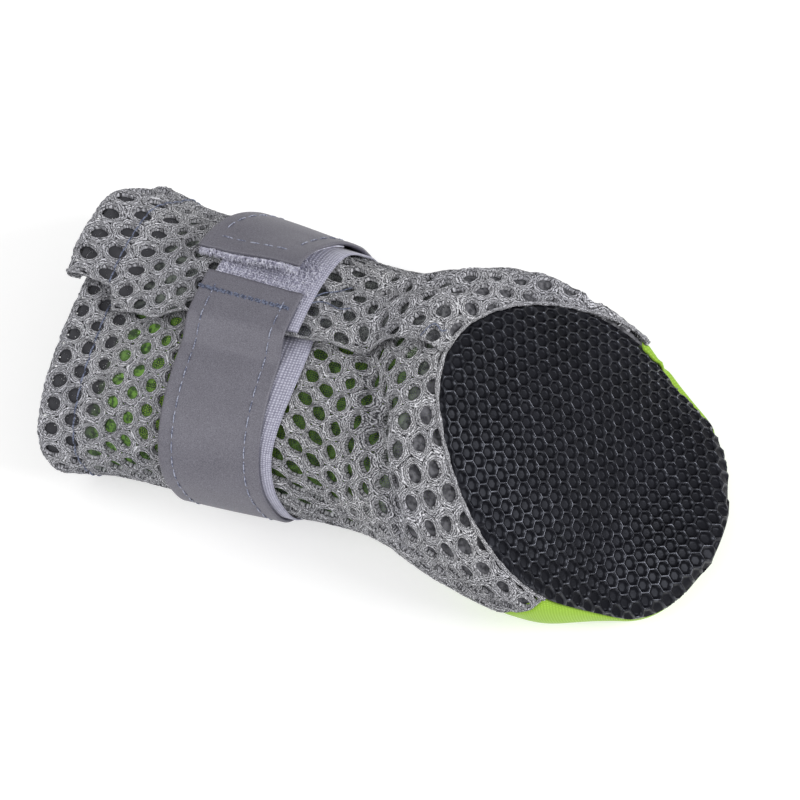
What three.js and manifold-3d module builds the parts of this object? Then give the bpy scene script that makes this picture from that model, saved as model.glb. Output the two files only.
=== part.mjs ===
// A soft mesh dog boot, lying on its front: hollow upper with a lapped back closure, a cupped
// outsole, and a fastened closure band on a loop tape. Millimetres, +Z up, collar towards -X.
import * as THREE from "three";
import { mergeVertices } from "three/addons/utils/BufferGeometryUtils.js";
import Module from "manifold-3d";

const wasm = await Module();
wasm.setup();

// The boot is a tube from the collar to the toe. Each section runs from a point on the back
// of the shaft, or the tread side of the foot, to a point on the front, or the instep side.
// half: half the width; backPower, frontPower: roundness of the two halves (2 is an ellipse).
const SECTIONS = [
  //  backX, backZ, frontX, frontZ, half, backPower, frontPower
  [-2.2, 27.9, 5.8, -0.3, 32.9, 2.2, 3.0],
  [10.8, 28.6, 18.4, 0.8, 30.0, 2.2, 3.0],
  [23.2, 31.1, 32.7, 2.3, 29.6, 2.2, 3.0],
  [43.9, 33.6, 53.4, 2.3, 27.6, 2.2, 3.0],
  [60.1, 38.8, 70.0, 1.2, 26.7, 2.2, 3.0],
  [74.0, 45.0, 85.6, 0.0, 31.2, 2.2, 3.0],
  [87.2, 36.9, 98.5, -0.3, 33.0, 2.3, 2.8],
  [101.3, 25.8, 107.6, -0.3, 31.3, 2.4, 2.6],
  [113.3, 15.2, 116.1, -0.3, 25.8, 2.4, 2.5],
  [123.6, 9.2, 124.0, -0.3, 22.0, 2.3, 2.4],
  [131.3, 6.2, 131.3, 0.2, 19.6, 2.2, 2.2],
];
const LAST = SECTIONS.length - 1;
const TOE_ROUND = { from: 8.5, width: 0.98, depth: 0.55 };
const MID_X = 62.42; // the box's middle, brought to x = 0

const WALL = 1.5; // double mesh of the upper
const HEM = { to: 0.7, thick: 1.1 }; // fabric folded in at the collar
const GAP = 0.3; // between pieces that lie on each other
const FLOOR = 0; // the cloth is pressed flat where it rests
const WELD = 0.02; // cut edges closer than this become one

// Lapped back closure: the outer layer's free edge and its height over the inner layer.
const FLAP_WALL = 1.2;
const FLAP_ROOT = 150; // degrees round the section, where the flap leaves the tube
const FLAP_FULL = 122;
const FLAP = [
  //  u, edgeDeg, height
  [-0.33, 88, 2.2],
  [0.6, 88, 2.2],
  [0.75, 80, 2.3],
  [1.5, 82, 2.6],
  [1.9, 86, 2.9],
  [3.2, 87, 2.9],
  [3.7, 86, 2.6],
  [4.4, 93, 2.2],
  [4.75, 95, 1.8],
  [5.1, 97, 0.4],
  [5.4, 98, -0.15],
];
const INNER_EDGE = { deg: 117, width: 1.4 }; // free edge of the inner layer, as a slit

// Outsole: it spans spread degrees to each side of the tread line from the heel to the toe.
const SOLE = { heel: 5.1, toe: 9.96, rise: 0.4, spread: [40.5, 56.4, 7.4], widest: 86, lastLift: 9.2 };
const TREAD = { thick: 1.7, heelProud: 0.1, toeProud: 0.9 };

// Closure: degrees fall from the start at the back, round the left side, front and right side.
const TAPE = { from: 2.06, to: 3.12, start: 104, end: -272, thick: 0.8, bulge: 0.14 };
const STRAP = { from: 2.0, to: 3.0, start: 104, end: -248, thick: 1.1, skew: 0.25 };
const HOOK = { start: -216, end: -246, inset: 0.07, thick: 0.7 };
const STEP = 8; // degrees from one cross row of a band to the next
const LAP = { height: 3.0, from: -204, full: -235 }; // the bands climb over the flap's root

const clamp = THREE.MathUtils.clamp;
const smooth = (x, a, b) => {
  const t = clamp((x - a) / (b - a), 0, 1);
  return t * t * (3 - 2 * t);
};

function sectionAt(u) {
  const i = clamp(Math.floor(u), 0, LAST - 1);
  const f = u - i;
  const at = (k) => {
    if (k < 0) return SECTIONS[0].map((v, c) => 2 * v - SECTIONS[1][c]);
    if (k > LAST) return SECTIONS[LAST].map((v, c) => 2 * v - SECTIONS[LAST - 1][c]);
    return SECTIONS[k];
  };
  const [p, q, r, s] = [at(i - 1), at(i), at(i + 1), at(i + 2)];
  return q.map(
    (v, c) =>
      0.5 *
      (2 * v +
        (r[c] - p[c]) * f +
        (2 * p[c] - 5 * v + 4 * r[c] - s[c]) * f * f +
        (3 * v - p[c] - 3 * r[c] + s[c]) * f * f * f),
  );
}

// Point of the outer skin, or of a tube inset from it: deg 0 is the boot's left side, 90 the
// back and 270 the front.
function skin(u, deg, inset = 0) {
  const [bx, bz, fx, fz, half, bp, fp] = sectionAt(u);
  const k = clamp((u - TOE_ROUND.from) / (LAST - TOE_ROUND.from), 0, 1);
  const w = half * Math.sqrt(1 - TOE_ROUND.width * k * k) - inset;
  const d = Math.sqrt(1 - TOE_ROUND.depth * k ** 4) / 2 - inset / Math.hypot(bx - fx, bz - fz);
  const a = THREE.MathUtils.degToRad(deg);
  const [c, s] = [Math.cos(a), Math.sin(a)];
  const e = s >= 0 ? bp : fp;
  const r = (Math.abs(c) ** e + Math.abs(s) ** e) ** (-1 / e);
  const q = d * s * r;
  const x = (bx + fx) / 2 + (bx - fx) * q - MID_X;
  const z = (bz + fz) / 2 + (bz - fz) * q;
  return new THREE.Vector3(x, -w * c * r, z);
}

function outward(u, deg) {
  const h = 0.01;
  const uu = clamp(u, -0.5, LAST - 2 * h);
  const along = skin(uu + h, deg).sub(skin(uu - h, deg));
  const round = skin(uu, deg + 1).sub(skin(uu, deg - 1));
  return along.cross(round).normalize();
}

// A point proud of the skin, kept above a level.
function proud(u, deg, height, level = -Infinity) {
  const p = skin(u, deg).addScaledVector(outward(u, deg), height);
  p.z = Math.max(p.z, level);
  return p;
}

function geometry(positions, index) {
  const g = new THREE.BufferGeometry();
  g.setAttribute("position", new THREE.Float32BufferAttribute(positions, 3));
  g.setIndex(index);
  return g;
}

// Closed surface to solid, with vertices nearer than weld made one and flat slivers dropped.
function closed(g, weld) {
  const m = mergeVertices(g, weld);
  const tri = [];
  for (let i = 0; i < m.index.count; i += 3) {
    const [a, b, c] = [0, 1, 2].map((k) => m.index.getX(i + k));
    if (a !== b && b !== c && c !== a) tri.push(a, b, c);
  }
  const build = () =>
    new wasm.Manifold(
      new wasm.Mesh({
        numProp: 3,
        vertProperties: m.attributes.position.array,
        triVerts: new Uint32Array(tri),
      }),
    );
  const made = build();
  if (made.volume() > 0) return made;
  for (let i = 0; i < tri.length; i += 3) [tri[i + 1], tri[i + 2]] = [tri[i + 2], tri[i + 1]];
  return build();
}

const solid = (points, faces) =>
  closed(geometry(points.flatMap((p) => [p.x, p.y, p.z]), faces.flat()), 1e-4);

// Closed tube with flat ends through rings of points; us lists the rings.
function tube(us, around, point) {
  const points = [];
  const faces = [];
  for (const u of us) for (let j = 0; j < around; j++) points.push(point(u, (360 * j) / around));
  for (let i = 0; i < us.length - 1; i++)
    for (let j = 0; j < around; j++) {
      const [a, b] = [i * around + j, i * around + ((j + 1) % around)];
      faces.push([a, b, b + around], [a, b + around, a + around]);
    }
  for (const ring of [0, us.length - 1]) {
    const c = points.length;
    const mid = new THREE.Vector3();
    for (let j = 0; j < around; j++) mid.addScaledVector(points[ring * around + j], 1 / around);
    points.push(mid);
    for (let j = 0; j < around; j++) {
      const [a, b] = [ring * around + j, ring * around + ((j + 1) % around)];
      faces.push(ring ? [c, a, b] : [c, b, a]);
    }
  }
  return solid(points, faces);
}

// Closed slab: point(a, b, face) for a and b from 0 to 1, face 0 inside and 1 outside.
function slab(na, nb, point) {
  const points = [];
  const faces = [];
  const id = (i, j, f) => (f * (na + 1) + i) * (nb + 1) + j;
  for (const f of [0, 1])
    for (let i = 0; i <= na; i++) for (let j = 0; j <= nb; j++) points.push(point(i / na, j / nb, f));
  const quad = (a, b, c, d) => faces.push([a, b, c], [a, c, d]);
  for (let i = 0; i < na; i++)
    for (let j = 0; j < nb; j++) {
      quad(id(i, j, 1), id(i + 1, j, 1), id(i + 1, j + 1, 1), id(i, j + 1, 1));
      quad(id(i, j, 0), id(i, j + 1, 0), id(i + 1, j + 1, 0), id(i + 1, j, 0));
    }
  for (let i = 0; i < na; i++) {
    quad(id(i, 0, 0), id(i + 1, 0, 0), id(i + 1, 0, 1), id(i, 0, 1));
    quad(id(i, nb, 1), id(i + 1, nb, 1), id(i + 1, nb, 0), id(i, nb, 0));
  }
  for (let j = 0; j < nb; j++) {
    quad(id(0, j, 1), id(0, j + 1, 1), id(0, j + 1, 0), id(0, j, 0));
    quad(id(na, j, 0), id(na, j + 1, 0), id(na, j + 1, 1), id(na, j, 1));
  }
  return solid(points, faces);
}

const lerp = THREE.MathUtils.lerp;

function upper() {
  const outerRings = [0, 0.35, 0.75, 1.2, 1.6, 2, 2.5, 3, 3.4, 3.8, 4.2, 4.6, 5, 5.4, 5.8, 6.3, 6.8, 7.4];
  outerRings.push(8, 8.5, 9, 9.4, 9.7, 9.88, 10);
  const body = tube(outerRings, 360 / STEP, (u, deg) => proud(u, deg, 0, FLOOR));
  const innerRings = [
    -0.4, 0.35, 0.7, 0.72, 1.4, 2, 2.6, 3.2, 3.7, 4.2,
    4.6, 5, 5.4, 6, 6.6, 7.3, 8, 8.6, 9.1, 9.45,
  ];
  const hollow = tube(innerRings, 36, (u, deg) => {
    const t = WALL + (u <= HEM.to ? HEM.thick : 0);
    const p = skin(u, deg, t);
    p.z = Math.max(p.z, FLOOR + t);
    return p;
  });
  const slit = slab(16, 1, (a, b, f) => {
    const deg = INNER_EDGE.deg + (b - 0.5) * ((INNER_EDGE.width / 25) * 57.3);
    return proud(lerp(-0.5, SOLE.heel + 0.3, a), deg, f ? 0.5 : -4);
  });
  const flapRow = (u) => {
    const i = Math.max(0, FLAP.findIndex((r, k) => k > 0 && u <= r[0]) - 1);
    const [p, q] = [FLAP[i], FLAP[i + 1]];
    const f = clamp((u - p[0]) / (q[0] - p[0]), 0, 1);
    return [lerp(p[1], q[1], f), lerp(p[2], q[2], f)];
  };
  const flapRings = [-0.33, 0.15, 0.6, 0.75, 1.1, 1.5, 1.9, 2.5, 3.2, 3.7, 4.05, 4.4, 4.75, 5.1, 5.4];
  const flap = slab(flapRings.length - 1, 8, (a, b, f) => {
    const u = flapRings[Math.round(a * (flapRings.length - 1))];
    const [edge, height] = flapRow(u);
    const deg = lerp(edge, FLAP_ROOT, b);
    const top = smooth(deg, FLAP_ROOT, FLAP_FULL) * (height + 0.2) - 0.2;
    return proud(u, deg, f ? top : top - FLAP_WALL);
  });
  const cut = body.subtract(hollow).subtract(slit).add(flap).subtract(tread(true)).getMesh();
  return closed(geometry(cut.vertProperties, [...cut.triVerts]), WELD);
}

// The part of the skin under the foot, as a slab: the outsole, or the larger opening for it.
function tread(opening) {
  const grow = opening ? GAP : 0;
  const rings = opening ? 18 : 17; // the opening runs on past the toe
  return slab(rings, 12, (ring, b, f) => {
    const a = Math.min((ring * rings) / 17, 1);
    const s = 0.35 * (1 - Math.cos(Math.PI * a)) + 0.3 * a;
    const u = lerp(SOLE.heel - grow / 9, SOLE.toe, s);
    const [p, q, r] = SOLE.spread;
    const arch = Math.sqrt(1 - (1 - Math.min(s / SOLE.rise, 1)) ** 2);
    let spread = Math.min(p + q * s + r * s * s, SOLE.widest) * arch;
    const arc = skin(u, 91 - spread).distanceTo(skin(u, 89 - spread)) / 2;
    spread += (grow / arc) * Math.min(1, a * 17);
    const side = (2 * b - 1) * spread;
    const under = opening ? lerp(4, TREAD.thick + 2 * GAP, smooth(s, 0.5, 0.8)) : TREAD.thick;
    const over = opening ? 6 : lerp(TREAD.heelProud, TREAD.toeProud, smooth(s, 0.1, 0.6));
    const lift = outward(Math.min(u, SOLE.lastLift), 90 + 0.7 * side);
    const point = skin(u, 90 + side).addScaledVector(lift, f ? over : -under);
    if (ring * rings > 17.5) point.x += 4;
    return point;
  });
}

// A band round the shaft: base gives its height over the skin at each angle.
function band({ from, to, start, end, thick }, base, shift) {
  return slab(Math.round((start - end) / STEP), 3, (a, b, f) => {
    const deg = lerp(start, end, a);
    const [s0, s1] = shift(deg);
    const u = lerp(from + s0, to + s1, b);
    return proud(u, (deg + 720) % 360, base(deg) + (f ? thick : 0), f ? FLOOR : -Infinity);
  });
}

const onFlap = (deg) => LAP.height * smooth(deg, LAP.from, LAP.full);
const tapeBase = (deg) => GAP + onFlap(deg);
const strapBase = (deg) => {
  const start = LAP.height * smooth(deg, 74, 87);
  const end = (HOOK.thick + GAP + 0.1) * smooth(deg, -190, -214);
  return 2 * GAP + TAPE.thick + start + onFlap(deg) + end;
};

const tapeShift = (deg) => [0, TAPE.bulge * smooth(deg, 30, 80)];
const strapShift = (deg) => {
  const k = smooth(deg, -180, -236);
  return [-STRAP.skew * k, (-STRAP.skew / 2) * k];
};
const hookShift = (deg) => {
  const [a, b] = strapShift(deg);
  return [a + HOOK.inset, b - HOOK.inset];
};

const BOOT = new THREE.Group();
function part(name, made, color, roughness) {
  const { vertProperties, triVerts } = made.getMesh();
  const g = geometry(vertProperties, [...triVerts]);
  g.computeVertexNormals();
  const mesh = new THREE.Mesh(g, new THREE.MeshStandardMaterial({ color, roughness, metalness: 0 }));
  mesh.name = name;
  BOOT.add(mesh);
}

part("upper", upper(), 0x9a9aa0, 0.9);
part("sole", tread(false), 0x1c1d20, 0.6);
part("loop_tape", band(TAPE, tapeBase, tapeShift), 0xc4c4d4, 0.95);
part("strap", band(STRAP, strapBase, strapShift), 0x7d7b84, 0.55);
const hookBase = (deg) => strapBase(deg) - HOOK.thick - GAP;
part("hook_patch", band({ ...STRAP, ...HOOK }, hookBase, hookShift), 0xb9b9c8, 0.95);

export default BOOT;
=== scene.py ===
"""Looks of a soft mesh dog boot that lies on its front: knitted mesh with real holes, net lining,
lime stretch front, dimpled outsole, loop tape and a stitched closure strap."""

import math

import bmesh
import bpy
import numpy as np
from mathutils import Matrix, Vector


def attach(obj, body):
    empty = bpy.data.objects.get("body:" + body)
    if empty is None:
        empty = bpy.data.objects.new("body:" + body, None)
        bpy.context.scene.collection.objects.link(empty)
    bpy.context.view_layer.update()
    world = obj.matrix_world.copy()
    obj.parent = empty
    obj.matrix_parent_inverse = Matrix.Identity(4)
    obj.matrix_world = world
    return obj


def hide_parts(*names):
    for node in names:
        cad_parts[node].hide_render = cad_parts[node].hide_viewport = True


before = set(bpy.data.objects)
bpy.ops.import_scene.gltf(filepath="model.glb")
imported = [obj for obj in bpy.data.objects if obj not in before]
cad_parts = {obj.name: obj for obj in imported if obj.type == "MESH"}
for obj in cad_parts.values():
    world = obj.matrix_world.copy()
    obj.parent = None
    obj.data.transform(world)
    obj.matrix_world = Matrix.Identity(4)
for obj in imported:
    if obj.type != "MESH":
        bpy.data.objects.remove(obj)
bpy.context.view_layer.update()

MM = 0.001  # shapes are worked out in millimetres

# ------ the boot's own surface
# Sections from the collar to the toe, the same as the CAD upper's.
SECTIONS = np.array([
    # backX, backZ, frontX, frontZ, half, backPower, frontPower
    [-2.2, 27.9, 5.8, -0.3, 32.9, 2.2, 3.0],
    [10.8, 28.6, 18.4, 0.8, 30.0, 2.2, 3.0],
    [23.2, 31.1, 32.7, 2.3, 29.6, 2.2, 3.0],
    [43.9, 33.6, 53.4, 2.3, 27.6, 2.2, 3.0],
    [60.1, 38.8, 70.0, 1.2, 26.7, 2.2, 3.0],
    [74.0, 45.0, 85.6, 0.0, 31.2, 2.2, 3.0],
    [87.2, 36.9, 98.5, -0.3, 33.0, 2.3, 2.8],
    [101.3, 25.8, 107.6, -0.3, 31.3, 2.4, 2.6],
    [113.3, 15.2, 116.1, -0.3, 25.8, 2.4, 2.5],
    [123.6, 9.2, 124.0, -0.3, 22.0, 2.3, 2.4],
    [131.3, 6.2, 131.3, 0.2, 19.6, 2.2, 2.2],
])
LAST = len(SECTIONS) - 1
ROWS = np.vstack([2 * SECTIONS[0] - SECTIONS[1], SECTIONS, 2 * SECTIONS[-1] - SECTIONS[-2]])
TOE_ROUND = {"from": 8.5, "width": 0.98, "depth": 0.55}
MID_X = 62.42  # the CAD box's middle, brought to x = 0


def clamp01(x):
    return np.clip(x, 0.0, 1.0)


def smooth(x, a, b):
    t = clamp01((np.asarray(x, float) - a) / (b - a))
    return t * t * (3 - 2 * t)


def lerp(a, b, t):
    return a + (b - a) * t


def bell(x, centre, width):
    return np.exp(-(((x - centre) / width) ** 2))


def at_u(table, u, column=1):
    """A table's column at u; the first column of each table is u."""
    return np.interp(u, table[:, 0], table[:, column])


def arc_length(points, axis=0):
    """Length along lines of points, from 0."""
    step = np.linalg.norm(np.diff(points, axis=axis), axis=-1)
    return np.insert(np.cumsum(step, axis=axis), 0, 0, axis=axis)


def unit(v):
    return v / np.linalg.norm(v, axis=-1, keepdims=True)


def sampled(table, row, column):
    """Value of a grid at a row and a column that need not be whole."""
    x = np.clip(row, 0, table.shape[0] - 1.001)
    y = np.clip(column, 0, table.shape[1] - 1.001)
    i, j = x.astype(int), y.astype(int)
    low = lerp(table[i, j], table[i, j + 1], y - j)
    high = lerp(table[i + 1, j], table[i + 1, j + 1], y - j)
    return lerp(low, high, x - i)


def section_at(u):
    i = np.clip(np.floor(u).astype(int), 0, LAST - 1)
    f = (u - i)[..., None]
    p, q, r, s = (ROWS[i + k] for k in range(4))
    cubic = 2 * q + (r - p) * f + (2 * p - 5 * q + 4 * r - s) * f**2 + (3 * q - p - 3 * r + s) * f**3
    return cubic / 2


def skin(u, deg):
    """Points of the outer skin: deg 0 is the boot's left side, 90 the back and 270 the front."""
    u, deg = np.broadcast_arrays(np.asarray(u, float), np.asarray(deg, float))
    back_x, back_z, front_x, front_z, half, bp, fp = np.moveaxis(section_at(u), -1, 0)
    k = clamp01((u - TOE_ROUND["from"]) / (LAST - TOE_ROUND["from"]))
    w = half * np.sqrt(1 - TOE_ROUND["width"] * k**2)
    d = np.sqrt(1 - TOE_ROUND["depth"] * k**4) / 2
    a = np.radians(deg)
    c, s = np.cos(a), np.sin(a)
    e = np.where(s >= 0, bp, fp)
    r = (np.abs(c) ** e + np.abs(s) ** e) ** (-1 / e)
    q = d * s * r
    x = (back_x + front_x) / 2 + (back_x - front_x) * q - MID_X
    z = (back_z + front_z) / 2 + (back_z - front_z) * q
    return np.stack([x, -w * c * r, z], -1)


def outward(u, deg):
    u, deg = np.broadcast_arrays(np.asarray(u, float), np.asarray(deg, float))
    h = 0.01
    u = np.clip(u, -0.5, LAST - 2 * h)
    return unit(np.cross(skin(u + h, deg) - skin(u - h, deg), skin(u, deg + 1) - skin(u, deg - 1)))


def raised(u, deg, height):
    """Points at a height over the skin before its folds, and the directions outward there."""
    n = outward(u, deg % 360)
    return skin(u, deg % 360) + n * np.asarray(height)[..., None], n


# Main folds of the cloth: a soft trough (depth below 0) or ridge from one point
# of the skin to another, with its half width in millimetres.
FOLDS = [
    # u0, deg0, u1, deg1, depth, width
    [3.9, 88, 4.35, 62, -3.0, 2.3],
    [4.35, 62, 4.85, 25, -2.3, 2.5],
    [4.75, 60, 5.2, 15, 1.2, 3.5],
    [3.3, 118, 4.9, 122, -1.3, 2.4],
    [3.4, 138, 4.8, 146, -1.0, 2.6],
    [4.2, 108, 5.0, 110, 0.9, 2.4],
    [0.75, 70, 1.0, 10, -0.7, 2.2],
    [1.1, 128, 1.8, 160, -0.8, 2.6],
    [3.2, 20, 4.2, -20, -0.8, 2.8],
    [3.6, 190, 4.6, 215, -1.0, 3.0],
    [5.4, 10, 6.4, -10, -0.7, 3.5],
    [5.2, 175, 6.2, 195, -0.8, 3.5],
    [5.6, 145, 7.5, 159, 1.9, 2.4],
    [7.7, 171, 8.8, 187, 1.3, 2.6],
]
U_MM = 12.6  # about one step of u, and one degree round, in millimetres
DEG_MM = 0.45


def fold_depth(u, deg):
    total = np.zeros(np.broadcast(u, deg).shape)
    d = (np.asarray(deg, float) + 90) % 360 - 90
    for u0, d0, u1, d1, depth, width in FOLDS:
        ax, ay = (u - u0) * U_MM, (d - d0) * DEG_MM
        bx, by = (u1 - u0) * U_MM, (d1 - d0) * DEG_MM
        t = clamp01((ax * bx + ay * by) / (bx * bx + by * by))
        away = np.hypot(ax - t * bx, ay - t * by)
        total += depth * np.exp(-((away / width) ** 2))
    return total


def wobble(x, y, seed):
    """Smooth, repeatable unevenness between about -1 and 1."""
    a = np.sin(1.7 * x + 0.9 * y + seed) * np.sin(0.8 * x - 1.9 * y + 2.1 * seed)
    b = np.sin(0.45 * x + 0.61 * y + 3.7 * seed) + np.sin(0.53 * x - 0.37 * y + 1.3 * seed)
    return 0.5 * a + 0.3 * b


def cloth(u, deg, height, level=0.05):
    """Points at a height over the folded skin, kept above the surface that the boot lies on."""
    p = skin(u, deg) + outward(u, deg) * (np.asarray(height) + fold_depth(u, deg))[..., None]
    p[..., 2] = np.maximum(p[..., 2], level)
    return p


class Chart:
    """Distances on the skin: t millimetres from the collar, s round from the middle of the front
    by way of the left side and the back, where the whole way round counts as round_mm."""

    round_mm = 156.0
    per_degree = 2

    def __init__(self):
        self.u = np.linspace(-0.2, LAST, 256)
        self.deg = np.linspace(-90, 270, 360 * self.per_degree + 1)
        arc = arc_length(skin(self.u[:, None], self.deg[None, :]), 1)
        self.share = arc / arc[:, -1:]
        even = np.linspace(0, 1, len(self.deg))
        self.deg_of = np.array([np.interp(even, row, self.deg) for row in self.share])
        self.t = np.mean([arc_length(skin(self.u, a)) for a in (-90, 0, 90, 180)], axis=0)
        self.t -= np.interp(0, self.u, self.t)

    def _at(self, table, u, column):
        return sampled(table, (u - self.u[0]) / (self.u[1] - self.u[0]), column)

    def u_at(self, t):
        return np.interp(t, self.t, self.u)

    def t_at(self, u):
        return np.interp(u, self.u, self.t)

    def deg_at(self, s, u):
        return self._at(self.deg_of, u, s / self.round_mm * (len(self.deg) - 1))

    def s_at(self, deg, u):
        return self._at(self.share, u, (deg - self.deg[0]) * self.per_degree) * self.round_mm


chart = Chart()

# ------ edges of the panels
# Free edge of the flap and its height over the inner layer. Its turned hem is narrower.
FLAP = np.array([
    # u, edgeDeg, height
    [-0.33, 90, 3.2],
    [0.6, 90, 2.8],
    [0.74, 81, 2.4],
    [1.5, 82, 2.6],
    [1.9, 86, 2.9],
    [3.2, 87, 2.9],
    [3.7, 86, 2.6],
    [4.4, 92, 2.2],
    [4.75, 92, 1.8],
    [5.1, 90, 0.7],
    [5.4, 90, 0.0],
])
FLAP_ROOT, FLAP_FULL = 150, 122  # degrees between which the flap rises off the tube
FLAP_CORNER = {"deg": 88, "width": 9, "cut": 0.35}
# Free edge of the left panel, under the flap.
INNER_EDGE = np.array([
    # u, deg
    [0, 117],
    [4.5, 115],
    [5.0, 100],
    [5.2, 90],
])
# Where the mesh meets the lime front panel, on the left side; the right side mirrors it.
FRONT_EDGE = np.array([
    # u, deg
    [0, -58],
    [3.4, -58],
    [4.6, -52],
    [5.6, -40],
    [6.4, -16],
    [6.95, 8],
    [7.2, 24],
])
MESH_END = FRONT_EDGE[-1, 0]
# The outsole spans spread degrees to each side of the tread line, from its heel to its toe.
SOLE = {
    "heel": 5.1,
    "toe": 9.96,
    "rise": 0.4,
    "spread": (40.5, 56.4, 7.4),
    "widest": 86,
    "last_lift": 9.2,
    "thick": 1.7,
    "heel_proud": 0.1,
    "toe_proud": 0.9,
}


def panel_edges(side, u):
    """Degrees between which the left or the right mesh panel lies."""
    front = at_u(FRONT_EDGE, u)
    if side == "left":
        return front, at_u(INNER_EDGE, u)
    return at_u(FLAP, u), 180 - front


def flap_height(u, deg):
    return smooth(deg, FLAP_ROOT, FLAP_FULL) * at_u(FLAP, u, 2)


def flap_top(u, deg):
    """Height of the flap's mesh over the skin, with the waves of its free edge."""
    waves = 0.45 * bell(deg, at_u(FLAP, u), 14) * smooth(u, 5.0, 4.2)
    return flap_height(u, deg) + waves * np.sin(u * 7.5)


def lapped(u, deg):
    """The flap's folded hem reaches past the collar of the layer under it, with a rounded corner."""
    cut = FLAP_CORNER["cut"] * bell(deg, FLAP_CORNER["deg"], FLAP_CORNER["width"])
    reach = smooth(deg, FLAP_ROOT, FLAP_FULL) * (1 - cut)
    return u + FLAP[0, 0] * reach * (1 - smooth(u, -0.1, 1.05))


def sole_share(u):
    return clamp01((u - SOLE["heel"]) / (SOLE["toe"] - SOLE["heel"]))


def sole_spread(u):
    """Half of the degrees that the outsole spans at u."""
    s = sole_share(u)
    p, q, r = SOLE["spread"]
    arch = np.sqrt(np.maximum(1 - (1 - np.minimum(s / SOLE["rise"], 1)) ** 2, 0))
    return np.minimum(p + q * s + r * s * s, SOLE["widest"]) * arch


def under_sole(u, side, margin=0.0):
    """Whether a point, side degrees from the tread line, is more than margin inside the outsole."""
    return (u > SOLE["heel"]) & (np.abs(side) < sole_spread(u) - margin)


def out_of_sole(u, deg, margin=0.0):
    """Points under the outsole moved out to its edge, away from the middle of the heel."""
    mid_u, farthest, halvings = 6.4, 60.0, 26
    du, side = u - mid_u, deg - 90

    def moved(k):
        return mid_u + np.minimum(du, 0) * k + np.maximum(du, 0)

    low, high = np.ones_like(u), np.full_like(u, farthest)
    for _ in range(halvings):
        k = (low + high) / 2
        under = under_sole(moved(k), side * k, margin)
        low, high = np.where(under, k, low), np.where(under, high, k)
    inside = under_sole(u, side, margin)
    return np.where(inside, moved(high), u), np.where(inside, 90 + side * high, deg)


# ------ mesh making
SLIVER = 2e-10  # square metres; smaller faces are dropped


def new_object(name, data):
    o = bpy.data.objects.new(name, data)
    bpy.context.scene.collection.objects.link(o)
    return o


def new_piece(name, points, faces, material, uv=None, weld=0.0):
    """A mesh object from points in millimetres. uv gives each point's own millimetre chart."""
    me = bpy.data.meshes.new(name)
    me.from_pydata((np.asarray(points) * MM).tolist(), [], faces)
    if uv is not None:
        layer = me.uv_layers.new(name="chart")
        index = np.zeros(len(me.loops), np.int32)
        me.loops.foreach_get("vertex_index", index)
        layer.data.foreach_set("uv", (np.asarray(uv) * MM)[index].astype(np.float32).ravel())
    if weld:
        bm = bmesh.new()
        bm.from_mesh(me)
        bmesh.ops.remove_doubles(bm, verts=bm.verts, dist=weld * MM)
        flat = [f for f in bm.faces if f.calc_area() < SLIVER]
        bmesh.ops.delete(bm, geom=flat, context="FACES")
        loose = [v for v in bm.verts if not v.link_faces]
        bmesh.ops.delete(bm, geom=loose, context="VERTS")
        bm.to_mesh(me)
        bm.free()
    me.polygons.foreach_set("use_smooth", [True] * len(me.polygons))
    me.materials.append(material)
    me.update()
    o = new_object(name, me)
    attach(o, "root")
    return o


def grid_faces(n, m, base=0, flip=False):
    """Quads of a grid of n by m points, given row by row."""
    faces = []
    for i in range(n - 1):
        for j in range(m - 1):
            a = base + i * m + j
            quad = (a, a + m, a + m + 1, a + 1)
            faces.append(quad[::-1] if flip else quad)
    return faces


def ring_faces(base, rings, turns, flip=False):
    """Quads between closed rings of points, given ring by ring."""
    faces = []
    for k in range(rings - 1):
        for j in range(turns):
            a = base + k * turns + j
            b = base + k * turns + (j + 1) % turns
            faces.append((a, b, b + turns, a + turns) if flip else (a, a + turns, b + turns, b))
    return faces


def tube_faces(base, rings, sides):
    """Faces of a tube that is closed at both ends."""
    last = base + (rings - 1) * sides
    first_cap = tuple(base + j for j in range(sides))[::-1]
    return ring_faces(base, rings, sides, True) + [first_cap, tuple(last + j for j in range(sides))]


def unit_grid(n, m):
    return np.meshgrid(np.linspace(0, 1, n), np.linspace(0, 1, m), indexing="ij")


def shell(n, m, point):
    """Closed slab: point(a, b, face) of arrays from 0 to 1, face 0 inside and 1 outside."""
    a, b = unit_grid(n, m)
    outer, inner = point(a, b, 1), point(a, b, 0)
    points = np.concatenate([outer.reshape(-1, 3), inner.reshape(-1, 3)])
    faces = grid_faces(n, m) + grid_faces(n, m, n * m, True)
    rim = [i * m for i in range(n)] + [(n - 1) * m + j for j in range(1, m)]
    rim += [i * m + m - 1 for i in range(n - 2, -1, -1)] + list(range(m - 2, 0, -1))
    for x, y in zip(rim, rim[1:] + rim[:1]):
        faces.append((y, x, x + n * m, y + n * m))
    return points, faces


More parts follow.
